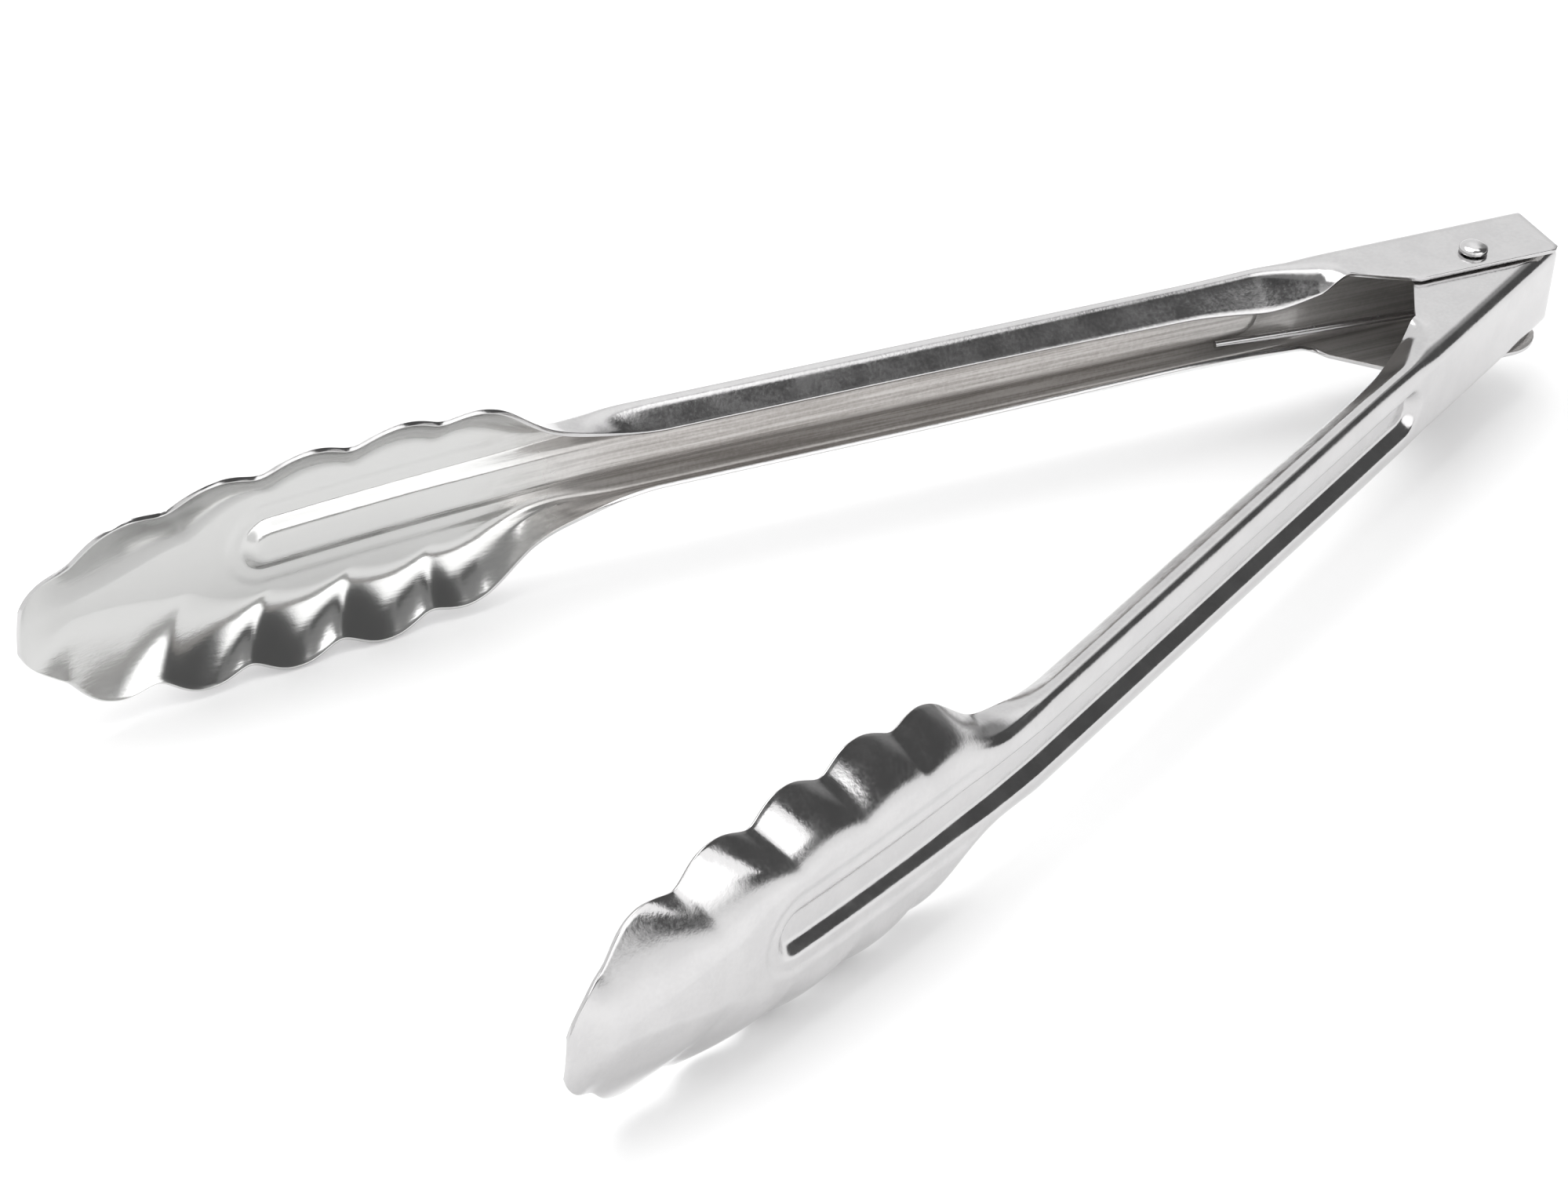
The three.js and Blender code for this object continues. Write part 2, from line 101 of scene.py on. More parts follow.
RIB_START = 39.0
RIB_END = 244.5
RIB_DEPTH = 2.1
HEAD_RIB_DEPTH = 1.6
RIB_FOOT_HALF = 5.2
RIB_WALL = 3.0
RIB_WALL_EASE = 0.3  # share of the wall's width that eases in, and out
HALO_START = 186.0  # a faint step pressed round the rib in the head
HALO_HALF = 8.4
HALO_DEPTH = 0.2
HALO_WALL = 1.6
HALO_FADE = 12  # it grows to its full depth over this length

NECK_START = 173.0
NECK_END = 213.0
HEAD_HALF_WIDTH = 19.6
NOSE_START = 226.0
NOSE_POWER = 2.5
NOTCH_PITCH = 17.5
NOTCH_COUNT = 5
FIRST_NOTCH = 209.5
LAST_NOTCH = FIRST_NOTCH + NOTCH_PITCH * (NOTCH_COUNT - 1)
FIRST_LOBE_START = FIRST_NOTCH - NOTCH_PITCH
HEAD_BLEND = (NECK_START - 2, FIRST_LOBE_START + 8)  # the section turns into the head's here
EDGE_CREASE_ROUND = 2.2  # rounding where two lobes meet, at the free edge
FOOT_CREASE_ROUND = 1.0  # the same at the foot of the wall
LOBE_BULGE = 2.3
LOBE_RISE = 0.8
TIP_BULGE = 1.5
NOSE_END = TIP_LENGTH - TIP_BULGE
CREASE_END = NOSE_END - 2  # the creases have run out here
TIP_SQUARE = NOSE_END - 1  # from here on a section stands straight across
TIP_CUT = 0.35  # the sheet ends this short of the nose's end, where it is still wide
BASE_SHARE = 0.63
NOSE_BASE_SHARE = 0.34  # the same at the nose, which is a shallow spoon
NOSE_BASE_START = 242.0
BASE_BULGE = 1.6
BASE_TURN = 0.3  # share of the wall's width over which it turns up, either side of its foot
CREASE_SLANT = 4.5
NOSE_CREASE_SLANT = 8.0  # they lean more towards the nose
FLOOR_RISE = 11.0
FLOOR_RISE_POWER = 1.35
TIP_CURL = 5.4
TIP_CURL_POWER = 6
EDGE_RISE = 9.6
EDGE_RISE_START = 190.0
EDGE_RISE_POWER = 1.35
NOSE_EDGE_DROP = 0.65  # share of the edge's height that is gone at the nose's end
LEAST_EDGE_HEIGHT = 0.02

SHANK_RADIUS = 1.6
RIVET_HEAD_RADIUS = 2.7
RIVET_RIM = 0.5
RIVET_DOME = 1.1
RIVET_EASE = 0.12

WIRE_RADIUS = 0.7
COIL_RADIUS = 3.0
COIL_TURNS = 5
COIL_PITCH_GAP = 0.08
LEG_LENGTH = 50.0
LEG_REST_HEIGHT = 3.3


# ------------------------------------------------------------------ curves of the pressing
def clamp(x, low=0.0, high=1.0):
    return min(max(x, low), high)


def lerp(a, b, t):
    return a + (b - a) * t


def smoothstep(x, start, end):
    t = clamp((x - start) / (end - start))
    return t * t * (3 - 2 * t)


def quarter_round(x):
    t = 1 - clamp(x)
    return math.sqrt(1 - t * t)


def floor_height(s):
    """Height of the back, or of the head's floor."""
    t = clamp((s - NECK_START) / (TIP_LENGTH - NECK_START))
    return FLOOR_RISE * t**FLOOR_RISE_POWER + TIP_CURL * t**TIP_CURL_POWER


def straight_ramp(x, length, ease):
    """0 before 0 and 1 after the length, straight between them but for its eased ends."""
    t = clamp(x / length)
    if t < ease:
        return t * t / (2 * ease * (1 - ease))
    if t > 1 - ease:
        return 1 - (1 - t) ** 2 / (2 * ease * (1 - ease))
    return (t - ease / 2) / (1 - ease)


def stadium(s, w, start, end, half, ramp, ease=0.2):
    """1 inside a slot with round ends, falling to 0 over the ramp at its border."""
    along = max(start + half - s, 0.0, s - end + half)
    return straight_ramp(half - math.hypot(along, w), ramp, ease)


def rib_rise(s, w):
    """Height pressed into the back: the stiffening rib and the faint step round it."""
    depth = lerp(RIB_DEPTH, HEAD_RIB_DEPTH, smoothstep(s, NECK_START, NECK_END))
    rib = depth * stadium(s, w, RIB_START, RIB_END, RIB_FOOT_HALF, RIB_WALL, RIB_WALL_EASE)
    halo_end = RIB_END + HALO_HALF - RIB_FOOT_HALF
    halo = stadium(s, w, HALO_START, halo_end, HALO_HALF, HALO_WALL)
    return rib + HALO_DEPTH * halo * smoothstep(s, HALO_START, HALO_START + HALO_FADE)


def notch_half_width(p):
    """Half width over the notches of the head."""
    flare = smoothstep(p, NECK_START, NECK_END)
    nose = clamp((p - NOSE_START) / (NOSE_END - NOSE_START))
    full = HEAD_HALF_WIDTH * (1 - nose**NOSE_POWER) ** (1 / NOSE_POWER)
    return lerp(NECK_HALF_WIDTH, full, flare)


def notch_edge_height(p):
    """Height of the free edge over the notches of the head."""
    t = clamp((p - EDGE_RISE_START) / (TIP_LENGTH - EDGE_RISE_START))
    return EDGE_HEIGHT + EDGE_RISE * (1 - (1 - t) ** EDGE_RISE_POWER)


def lobe_swell(p, crease_round):
    """0 in a crease, 1 in the middle of a lobe. The first lobe grows out of the neck."""
    first_middle = FIRST_NOTCH - NOTCH_PITCH / 2
    if p < first_middle:
        return smoothstep(p, FIRST_LOBE_START - NOTCH_PITCH / 2, first_middle)
    if p < LAST_NOTCH:
        share = ((p - FIRST_LOBE_START) / NOTCH_PITCH) % 1
        length = NOTCH_PITCH
    else:
        share = 0.5 * (1 - math.sqrt(1 - clamp((p - LAST_NOTCH) / (NOSE_END - LAST_NOTCH))))
        length = 2 * (NOSE_END - LAST_NOTCH)
    off = min(share, 1 - share) * length
    off = math.hypot(off, crease_round) - crease_round
    share = min(off / (length - 2 * crease_round), 0.5)
    return 4 * share * (1 - share)


def lobe_reach(p):
    """How far the free edge stands out beyond the line over the notches."""
    bulge = LOBE_BULGE if p < LAST_NOTCH else TIP_BULGE
    return bulge * lobe_swell(p, EDGE_CREASE_ROUND)


def edge_normal(p):
    """Outward normal, along s and w, of the line over the notches."""
    step = 0.05
    ahead = notch_half_width(min(p + step, NOSE_END))
    slope = (ahead - notch_half_width(p - step)) / (2 * step)
    length = math.hypot(1, slope)
    return -slope / length, 1 / length


def handle_half_width(s, hinge_half_width):
    return lerp(hinge_half_width, NECK_HALF_WIDTH, smoothstep(s, LIP_START, HINGE_BLEND))


def lip_growth(s):
    """0 where the flange stands straight, 1 where its lip is folded in."""
    start = smoothstep(s, LIP_START, LIP_START + LIP_ROUND)
    return start * smoothstep(LIP_END - s, 0, LIP_RUN_OUT)


def handle_edge_height(s, ear, tail_length):
    """Free edge of the handle, with the ears round the rivet."""
    plain = lerp(ear["lip_edge"], EDGE_HEIGHT, smoothstep(s, LIP_START, HINGE_BLEND))
    slope = clamp((ear["start"] - s) / (ear["start"] - EAR_FRONT))
    top = lerp(plain, ear["height"], slope)
    corner = ear["corner"] * (1 - quarter_round((s + tail_length) / ear["corner"]))
    return min(top - corner, ear["stop"](s))


# ------------------------------------------------------------------ sections of an arm
FLOOR_STEPS = 32
BEND_STEPS = 8
FLANGE_STEPS = 4
FOLD_STEPS = 6
LIP_STEPS = 5
WALL_STEPS = BEND_STEPS + FLANGE_STEPS + FOLD_STEPS + LIP_STEPS
LAST_NODE = FLOOR_STEPS + WALL_STEPS
LOBE_STEPS = 34
TIP_STEPS = 8
TIP_CROWDING = 1.5  # above 1, the sections lie closer together towards the tip


def between(a, b, t):
    return (lerp(a[0], b[0], t), lerp(a[1], b[1], t))


def rounded(before, corner, after, arriving, leaving, steps):
    """Points of a bend that rounds a corner, as far from it as the two reaches."""
    into = (corner[0] - before[0], corner[1] - before[1])
    out = (after[0] - corner[0], after[1] - corner[1])
    long_in, long_out = math.hypot(*into), math.hypot(*out)
    start = between(corner, before, min(arriving / long_in, BEND_REACH))
    end = between(corner, after, min(leaving / long_out, BEND_REACH))
    turn = math.acos(clamp((into[0] * out[0] + into[1] * out[1]) / (long_in * long_out), -1))
    pull = math.cos(turn / 2)
    points = []
    for k in range(steps + 1):
        t = k / steps
        a, b, c = (1 - t) ** 2, 2 * pull * t * (1 - t), t * t
        total = a + b + c
        mixed = zip(start, corner, end)
        points.append(tuple((a * p + b * q + c * r) / total for p, q, r in mixed))
    return points


def handle_section(s, shape, ear):
    """Handle half section, as (w, h) pairs: back, bend, flange, fold and lip."""
    half = handle_half_width(s, shape["hinge_half_width"])
    edge = handle_edge_height(s, ear, shape["tail_length"])
    near_hinge = 1 - smoothstep(s, LIP_START, HINGE_BLEND)
    fold_height = lerp(ear["lip_fold"], FLANGE_HEIGHT, smoothstep(s, LIP_START, FOLD_BLEND))
    run = lerp(BACK_BEND, HINGE_BACK_BEND, near_hinge)
    rise = min(run, BEND_RISE_SHARE * fold_height)
    middle, base, fold = (0, 0), (half, 0), (half, fold_height)
    lean = lerp(HINGE_LIP_LEAN, LIP_LEAN, smoothstep(s, LIP_START, LEAN_BLEND))
    free_edge = (half - lean * (edge - fold_height) * lip_growth(s), edge)
    bend = rounded(middle, base, fold, run, rise, BEND_STEPS)
    crease = rounded(
        base, fold, free_edge, FOLD_REACH * fold_height, LIP_REACH * fold_height, FOLD_STEPS
    )
    floor = [between(middle, bend[0], k / FLOOR_STEPS) for k in range(FLOOR_STEPS)]
    flange = [between(bend[-1], crease[0], k / FLANGE_STEPS) for k in range(1, FLANGE_STEPS)]
    lip = [between(crease[-1], free_edge, k / LIP_STEPS) for k in range(1, LIP_STEPS + 1)]
    return floor + bend + flange + crease + lip


def head_section(p):
    """Head half section, as (w, h) pairs above the height of the floor."""
    notch = notch_half_width(p)
    edge_swell = lobe_swell(p, EDGE_CREASE_ROUND)
    foot_swell = lobe_swell(p, FOOT_CREASE_ROUND)
    at_tip = smoothstep(p, LAST_NOTCH - NOTCH_PITCH / 2, NOSE_END)
    edge_w = notch + lobe_reach(p) * edge_normal(p)[1]
    share = lerp(BASE_SHARE, NOSE_BASE_SHARE, smoothstep(p, NOSE_BASE_START, LAST_NOTCH))
    base_w = share * notch + BASE_BULGE * foot_swell * notch / HEAD_HALF_WIDTH * (1 - at_tip)
    edge_h = notch_edge_height(p) + LOBE_RISE * edge_swell * (1 - at_tip) - floor_height(p)
    edge_h *= 1 - NOSE_EDGE_DROP * smoothstep(p, LAST_NOTCH, NOSE_END)
    edge = (edge_w, max(edge_h, LEAST_EDGE_HEIGHT))
    turn = BASE_TURN * (edge_w - base_w)
    foot, corner = (base_w - turn, 0), (base_w + turn, 0)
    floor = [between((0, 0), foot, k / FLOOR_STEPS) for k in range(FLOOR_STEPS)]
    rise = [k / WALL_STEPS for k in range(WALL_STEPS + 1)]
    wall = [between(between(foot, corner, t), between(corner, edge, t), t) for t in rise]
    return evened(floor + wall, smoothstep(p, LAST_NOTCH, CREASE_END))


def evened(points, share):
    """The points slid along their line towards even spacing, as far as the share says."""
    if share == 0:
        return points
    lengths = [math.dist(a, b) for a, b in zip(points, points[1:])]
    reach = [sum(lengths[:k]) for k in range(len(points))]
    slid = []
    k = 0
    for node, here in enumerate(reach):
        target = lerp(here, reach[-1] * node / (len(points) - 1), share)
        while k < len(lengths) - 1 and reach[k + 1] < target:
            k += 1
        slid.append(between(points[k], points[k + 1], (target - reach[k]) / lengths[k]))
    return slid


def half_skin(p, shape, ear):
    """One half of the skin at station p: points (s, w, h) from the centre line outwards."""
    head_share = smoothstep(p, *HEAD_BLEND)
    towards_nose = clamp((p - NOSE_START) / (LAST_NOTCH - NOTCH_PITCH - NOSE_START))
    lean = lerp(CREASE_SLANT, NOSE_CREASE_SLANT, towards_nose)
    lean *= smoothstep(p, FIRST_LOBE_START, NOSE_START)
    lean *= 1 - smoothstep(p, LAST_NOTCH - NOTCH_PITCH / 2, CREASE_END)
    to_tip = smoothstep(p, LAST_NOTCH, TIP_SQUARE)
    push = lobe_reach(p) * edge_normal(p)[0]
    handle = handle_section(p, shape, ear)
    head = head_section(p) if head_share > 0 else handle
    points = []
    for node in range(LAST_NODE + 1):
        outward = clamp((node - FLOOR_STEPS) / WALL_STEPS)
        s = p - lean * (1 - outward) + push * lerp(outward, 1, to_tip)
        w = lerp(handle[node][0], head[node][0], head_share)
        h = lerp(handle[node][1], head[node][1], head_share)
        lift = lerp(floor_height(lerp(s, p, to_tip)), floor_height(p), outward)
        points.append((s, w, h + lift + rib_rise(s, w) * (1 - outward)))
    return points


def stations(tail_length):
    """Distances along the arm at which its section is drawn, crowding towards the tip."""
    # Each mark has the number of sections from it to the next one.
    marks = [
        (-tail_length, 8),
        (-tail_length + EAR_CORNER, 12),
        (EAR_FRONT, 8),
        (LIP_START, 14),
        (LIP_START + LIP_ROUND, 6),
        (RIB_START, 14),
        (RIB_START + RIB_FOOT_HALF + 2, 8),
        (HINGE_BLEND, 26),
        (LIP_FADE, 30),
        (LIP_END, 6),
        (FIRST_LOBE_START, LOBE_STEPS * NOTCH_COUNT),
        (LAST_NOTCH, 0),
    ]
    spots = []
    for (start, count), (end, _) in zip(marks, marks[1:]):
        spots += [lerp(start, end, k / count) for k in range(count)]
    end = NOSE_END - TIP_CUT
    for k in range(TIP_STEPS):
        spots.append(end - (end - LAST_NOTCH) * (1 - k / TIP_STEPS) ** TIP_CROWDING)
    return spots + [end]


def no_stop(s):
    return math.inf


def inner_stop(s):
    """The inner arm's ears end just short of the outer arm's back, which stops the opening."""
    spread = 2 * HALF_OPEN
    reach = PIVOT_HEIGHT - SHEET - RUN_GAP - STOP_ROOM_SHARE * HINGE_BACK_BEND
    return PIVOT_HEIGHT + (reach + math.sin(spread) * s) / math.cos(spread)


PLAIN_EAR = {
    "start": LIP_START, "height": EAR_HEIGHT, "corner": 1.0,
    "lip_fold": HINGE_FOLD_HEIGHT, "lip_edge": HINGE_EDGE_HEIGHT, "stop": no_stop,
}
DEEP_EAR = {
    "start": DEEP_EAR_START, "height": DEEP_EAR_HEIGHT, "corner": EAR_CORNER,
    "lip_fold": DEEP_EAR_FOLD_HEIGHT, "lip_edge": DEEP_EAR_EDGE_HEIGHT, "stop": no_stop,
}
STOPPED_EAR = dict(PLAIN_EAR, stop=inner_stop)
OUTER_SHAPE = {
    "side": -1, "hinge_half_width": OUTER_HALF_WIDTH, "tail_length": TAIL_LENGTH,
    "upper_ear": PLAIN_EAR, "lower_ear": DEEP_EAR,
}
INNER_SHAPE = {
    "side": 1, "hinge_half_width": INNER_HALF_WIDTH, "tail_length": INNER_TAIL_LENGTH,
    "upper_ear": STOPPED_EAR, "lower_ear": STOPPED_EAR,
}


# ------------------------------------------------------------------ modelling helpers
def deselect():
    bpy.ops.object.select_all(action="DESELECT")


def active(name):
    """The new object, named, with its place applied to its mesh."""
    piece = bpy.context.object
    piece.name = name
    piece.data.name = name
    bpy.ops.object.transform_apply(location=True, rotation=True, scale=True)
    return piece


def finish_with(piece, kind, **settings):
    """Adds a modifier and applies it."""
    bpy.context.view_layer.objects.active = piece
    modifier = piece.modifiers.new(kind.title(), kind)
    for key, value in settings.items():
        setattr(modifier, key, value)
    bpy.ops.object.modifier_apply(modifier=modifier.name)


def shade_smooth(piece, degrees):
    deselect()
    piece.select_set(True)
    bpy.context.view_layer.objects.active = piece
    bpy.ops.object.shade_smooth_by_angle(angle=math.radians(degrees))
    deselect()


# ------------------------------------------------------------------ finishes
# Noises, each as scale, detail and roughness.
DRIFT = (160.0, 2.0, 0.5)
RAGGED = (220.0, 2.0, 0.5)
STREAK = (900.0, 4.0, 0.65)
GRAIN = (1400.0, 3.0, 0.6)
FINE_STREAK = (2600.0, 2.0, 0.5)

STEEL_DARK = (0.93, 0.92, 0.925)  # tints of polished steel, times its tone
STEEL_LIGHT = (1.0, 0.99, 0.993)
STEEL_CONTRAST = (0.36, 0.64)  # the noise that gives the dark tint, and the light one

# Colours inside the handle's channel, darker and warmer than the bright steel: painted shade,
# streaked along the arm
CHANNEL_SHADE_DARK = (0.34, 0.318, 0.3, 1)
CHANNEL_SHADE_LIGHT = (0.64, 0.615, 0.595, 1)
CHANNEL_CONTRAST = (0.38, 0.62)
CHANNEL_ROUGHNESS = 0.26
CHANNEL_METAL = 0.35  # less metal inside the channel, part of its painted shade
CHANNEL_WAVE = 0.02
STREAK_STRETCH = 0.02  # streaks are this much slower along the arm than across it
HINGE_SHADE_SHARE = 0.6  # share of the painted channel shade that is left round the hinge
HINGE_SHADE_RAMP = (0.03, 0.075)  # metres along the arm over which the painted shade sets in
NECK_BRIGHT = (0.16, 0.205)  # metres along the arm over which the painted shade ends and it brightens again
NECK_RAGGED = 0.012  # metres by which that border wanders
BRIGHT = (0.6, 0.6, 0.594, 1)
BRIGHT_ROUGHNESS = 0.16
BRIGHT_METAL = 0.995


class Value:
    """A number or vector socket of a shader, for sums written as expressions."""

    def __init__(self, tree, socket):
        self.tree = tree
        self.socket = socket

    def math(self, operation, *others):
        return self.tree.node("ShaderNodeMath", {"operation": operation}, self, *others)

    def __add__(self, other):
        return self.math("ADD", other)

    def __mul__(self, other):
        return self.math("MULTIPLY", other)

    def __sub__(self, other):
        return self.math("SUBTRACT", other)

    def __rsub__(self, other):
        return (self * -1) + other


class Tree:
    """A new node tree of a material or world, with its output node."""

    def __init__(self, owner, output):
        owner.use_nodes = True
        self.nodes = owner.node_tree.nodes
        self.links = owner.node_tree.links
        self.nodes.clear()
        self.output = self.nodes.new(output)

    def node(self, kind, settings, *values, **named):
        """Adds a node, sets its settings, fills its sockets, and returns its first output."""
        node = self.nodes.new(kind)
        for key, value in settings.items():
            setattr(node, key, value)
        sockets = list(enumerate(values))
        sockets += [(key.replace("_", " "), value) for key, value in named.items()]
        for key, value in sockets:
            if isinstance(value, Value):
                self.links.new(value.socket, node.inputs[key])
            else:
                node.inputs[key].default_value = value
        return Value(self, next(out for out in node.outputs if out.enabled))

    def source(self, kind, output):
        """An output of a new node that has no inputs to fill."""
        return Value(self, self.nodes.new(kind).outputs[output])

    def split(self, vector):
        """The x, y and z of a vector."""
        parts = self.nodes.new("ShaderNodeSeparateXYZ")
        self.links.new(vector.socket, parts.inputs[0])
        return [Value(self, out) for out in parts.outputs]

    def smooth(self, value, start, end):
        """0 before start, 1 after end."""
        settings = {"interpolation_type": "SMOOTHSTEP"}
        return self.node("ShaderNodeMapRange", settings, value, start, end, 0, 1)

    def finish(self, value):
        self.links.new(value.socket, self.output.inputs["Surface"])


def noise(tree, kind, place=None):
    """Noise in the object's coordinates, or at another place made of them."""
    scale, detail, roughness = kind
    place = place or tree.source("ShaderNodeTexCoord", "Object")
    return tree.node(
        "ShaderNodeTexNoise", {}, Vector=place, Scale=scale, Detail=detail, Roughness=roughness
    )


def steel(name, tone, roughness, swing, wave):
    """Polished steel: its gloss drifts a little and its surface is faintly uneven."""
    material = bpy.data.materials.new(name)
    tree = Tree(material, "ShaderNodeOutputMaterial")
    drift = noise(tree, DRIFT)
    grain = noise(tree, GRAIN)
    shade = tree.smooth(grain * 0.45 + drift * 0.55, *STEEL_CONTRAST)
    dark = (*(tone * part for part in STEEL_DARK), 1)
    light = (*(tone * part for part in STEEL_LIGHT), 1)
    color = tree.node(
        "ShaderNodeMix", {"data_type": "RGBA"}, Factor=shade, A=dark, B=light
    )
    bump = tree.node(
        "ShaderNodeBump", {}, Strength=1.0, Distance=wave * MM, Height=drift + grain * 0.5
    )
    surface = tree.node(
        "ShaderNodeBsdfPrincipled", {}, Base_Color=color, Metallic=1.0,
        Roughness=shade * swing + roughness, Normal=bump,
    )
    tree.finish(surface)
    return material


def streaked_steel_painted_shade(name):
    """Steel inside the handles: satin, streaked along the arm, darker and warmer as painted
    shade.

    The arms mirror each other about the mid plane, so one set of coordinates serves both.
    """
    material = bpy.data.materials.new(name)
    tree = Tree(material, "ShaderNodeOutputMaterial")
    x, y, z = tree.split(tree.source("ShaderNodeTexCoord", "Object"))
    x = x - PIVOT.x
    y = (y - PIVOT.y).math("ABSOLUTE")
    along = x * math.cos(HALF_OPEN) + y * math.sin(HALF_OPEN)
    inward = x * math.sin(HALF_OPEN) - y * math.cos(HALF_OPEN)
    ragged = along + (noise(tree, RAGGED) - 0.5) * NECK_RAGGED
    # drawn is the share of painted shade in the channel: part of it round the hinge, all of it
    # along the handle, none in the head
    drawn = tree.smooth(along, *HINGE_SHADE_RAMP) * (1 - HINGE_SHADE_SHARE) + HINGE_SHADE_SHARE
    drawn = drawn * (1 - tree.smooth(ragged, *NECK_BRIGHT))
    stretched = tree.node("ShaderNodeCombineXYZ", {}, along * STREAK_STRETCH, z, inward)
    streak = noise(tree, STREAK, stretched)
    fine = noise(tree, FINE_STREAK, stretched)
    grain = noise(tree, GRAIN)
    shade = tree.smooth(streak * 0.6 + fine * 0.25 + grain * 0.15, *CHANNEL_CONTRAST)
    color = tree.node(
        "ShaderNodeMix", {"data_type": "RGBA"}, Factor=shade, A=CHANNEL_SHADE_DARK, B=CHANNEL_SHADE_LIGHT
    )
    # the painted shade turns the bright steel into the darker streaked colours
    color = tree.node(
        "ShaderNodeMix", {"data_type": "RGBA"}, Factor=drawn, A=BRIGHT, B=color
    )
    bump = tree.node(
        "ShaderNodeBump", {}, Strength=1.0, Distance=CHANNEL_WAVE * MM,
        Height=streak + grain * 0.25,
    )
    surface = tree.node(
        "ShaderNodeBsdfPrincipled", {}, Base_Color=color,
        Metallic=BRIGHT_METAL - drawn * (BRIGHT_METAL - CHANNEL_METAL),
        Roughness=drawn * (CHANNEL_ROUGHNESS - BRIGHT_ROUGHNESS) + BRIGHT_ROUGHNESS, Normal=bump,
    )
    tree.finish(surface)
    return material


def dress(piece, material):
    """Gives a piece one finish all over."""
    piece.data.materials.clear()
    piece.data.materials.append(material)


# ------------------------------------------------------------------ pieces
def arm(name, body, shape, finishes):
    """A pressed arm: a sheet drawn over its sections, thickened inwards, with eased cut edges.

    It has the first finish outside and on its cut edges, and the second inside.
    """
    along = stations(shape["tail_length"])
    last_row = len(along) - 1
    rows = []
    for p in along:
        upper = half_skin(p, shape, shape["upper_ear"])
        lower = half_skin(p, shape, shape["lower_ear"])
        rows.append([(s, -w, h) for s, w, h in lower[:0:-1]] + upper)
    deselect()
    bpy.ops.mesh.primitive_grid_add(x_subdivisions=last_row, y_subdivisions=2 * LAST_NODE, size=1)
    piece = active(name)
    cos_open, sin_open = math.cos(HALF_OPEN), math.sin(HALF_OPEN)
    for vertex in piece.data.vertices:
        i = round((vertex.co.x + 0.5) * last_row)
        k = round((vertex.co.y + 0.5) * 2 * LAST_NODE)
        s, w, h = rows[i][k]
        inward = h - PIVOT_HEIGHT
        x = s * cos_open + inward * sin_open
        y = shape["side"] * (s * sin_open - inward * cos_open)
        vertex.co = PIVOT + Vector((x, y, w)) * MM
    if shape["side"] > 0:
        piece.data.flip_normals()
    for finish in finishes:
        piece.data.materials.append(finish)
    finish_with(
        piece, "SOLIDIFY", thickness=SHEET * MM, offset=-1, use_quality_normals=True,
        material_offset=1,
    )
    finish_with(
        piece, "BEVEL", width=EDGE_ROUND * MM, segments=3, limit_method="ANGLE",
        angle_limit=math.radians(60), use_clamp_overlap=False,
    )
    shade_smooth(piece, 40)
    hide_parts(name.removesuffix("_looks"))
    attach(piece, body)
    return piece


def raise_cap(height, scale):
    """Extrudes the selected end face along the rivet and scales it about the rivet's axis."""
    bpy.ops.mesh.extrude_region_move(TRANSFORM_OT_translate={"value": (0, 0, height * MM)})
    bpy.ops.transform.resize(value=(scale, scale, 1), center_override=PIVOT)


def rivet():
    """A shank with a domed head raised on both ends."""
    seat = OUTER_HALF_WIDTH + RUN_GAP
    dome_steps = 12
    deselect()
    bpy.ops.mesh.primitive_cylinder_add(
        vertices=64, radius=SHANK_RADIUS * MM, depth=2 * seat * MM, location=PIVOT
    )
    piece = active("hinge_rivet_looks")
    for end in (1, -1):
        bpy.ops.object.mode_set(mode="EDIT")
        bpy.ops.mesh.select_mode(type="FACE")
        bpy.ops.mesh.select_all(action="DESELECT")
        shape = bmesh.from_edit_mesh(piece.data)
        for face in shape.faces:
            above = (face.calc_center_median().z - PIVOT.z) * end > 0
            face.select_set(above and abs(face.normal.z) > 0.9)
        bmesh.update_edit_mesh(piece.data)
        raise_cap(0, RIVET_HEAD_RADIUS / SHANK_RADIUS)
        raise_cap(end * RIVET_RIM, 1)
        for k in range(dome_steps):
            start, stop = (math.pi / 2 * share / dome_steps for share in (k, k + 1))
            rise = RIVET_DOME * (math.sin(stop) - math.sin(start))
            raise_cap(end * rise, max(math.cos(stop), 0.02) / math.cos(start))
        bpy.ops.object.mode_set(mode="OBJECT")
    finish_with(
        piece, "BEVEL", width=RIVET_EASE * MM, segments=2, limit_method="ANGLE",
        angle_limit=math.radians(50),
    )
    shade_smooth(piece, 40)
    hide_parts("hinge_rivet")
    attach(piece, "outer")
    return piece


def spring_path():
    """Centre line of the wire round the rivet: a leg, the coil and the other leg."""
    tilt = HALF_OPEN + math.asin((PIVOT_HEIGHT - LEG_REST_HEIGHT - COIL_RADIUS) / LEG_LENGTH)
    wrap = math.pi - 2 * tilt + 2 * math.pi * COIL_TURNS
    rise = wrap / (2 * math.pi) * (2 * WIRE_RADIUS + COIL_PITCH_GAP)
    leg_steps = 24
    legs = {}
    for side in (-1, 1):
        legs[side] = []
        for k in range(leg_steps + 1):
            d = LEG_LENGTH * k / leg_steps
            x = d * math.cos(tilt) - COIL_RADIUS * math.sin(tilt)
            y = d * math.sin(tilt) + COIL_RADIUS * math.cos(tilt)
            legs[side].append((x, side * y, side * rise / 2))
    coil = []
    coil_steps = 48 * COIL_TURNS
    for k in range(1, coil_steps):
        share = k / coil_steps
        angle = -math.pi / 2 - tilt - share * wrap
        x, y = COIL_RADIUS * math.cos(angle), COIL_RADIUS * math.sin(angle)
        coil.append((x, y, (share - 0.5) * rise))
    return legs[-1][::-1] + coil + legs[1]


